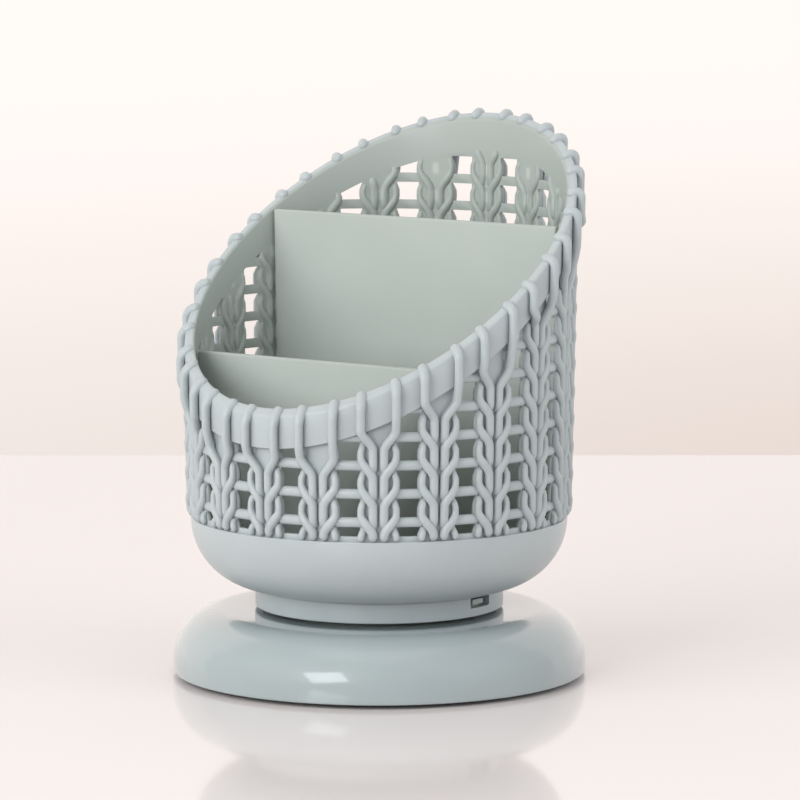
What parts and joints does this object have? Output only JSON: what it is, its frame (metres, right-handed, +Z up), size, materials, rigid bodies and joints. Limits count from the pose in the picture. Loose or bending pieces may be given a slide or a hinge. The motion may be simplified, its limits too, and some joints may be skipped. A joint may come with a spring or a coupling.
{
  "type": "rotating desk organizer",
  "caption": "Knit-pattern pen basket with a slanted rim and dividers, turning on a round domed base.",
  "frame": {"origin": "centre of the round base at desk level, under the rubber feet", "axes": "+Z up along the swivel axis, -Y towards the low front side of the slanted rim, +X to the right seen from the front"},
  "size_m": [0.104, 0.104, 0.1414],
  "materials": {
    "plastic_sage": "semi-gloss moulded",
    "plastic_inner": "satin moulded",
    "plastic_cover": "fine moulded texture",
    "plastic_cage": "satin nylon",
    "steel": "zinc plated",
    "steel_balls": "polished",
    "rubber": "soft matt"
  },
  "bodies": {
    "base": {"base_dome": "plastic_sage", "base_cover": "plastic_cover", "cover_screws": "steel", "lower_race": "steel", "pivot_washer": "steel", "pivot_screw": "steel", "foot_1": "rubber", "foot_2": "rubber", "foot_3": "rubber", "foot_4": "rubber"},
    "bearing_cage": {"ball_cage": "plastic_cage", "ball_1": "steel_balls", "ball_2": "steel_balls", "ball_3": "steel_balls", "ball_4": "steel_balls", "ball_5": "steel_balls", "ball_6": "steel_balls", "ball_7": "steel_balls", "ball_8": "steel_balls", "ball_9": "steel_balls", "ball_10": "steel_balls", "ball_11": "steel_balls", "ball_12": "steel_balls"},
    "basket": {"upper_race": "steel", "swivel_plate": "plastic_inner", "basket_bowl": "plastic_sage", "basket_wall": "plastic_sage", "rim_band": "plastic_sage", "front_divider": "plastic_sage", "rear_divider": "plastic_sage"}
  },
  "joints": [
    {"name": "basket_spin", "type": "hinge", "parent": "base", "child": "basket", "pos_m": [0, 0, 0.0174], "axis": [0, 0, 1], "continuous": true},
    {"name": "cage_spin", "type": "hinge", "parent": "base", "child": "bearing_cage", "pos_m": [0, 0, 0.0129], "axis": [0, 0, 1], "continuous": true}
  ],
  "couplings": [
    {"joint": "cage_spin", "follows": "basket_spin", "ratio": 0.5}
  ]
}
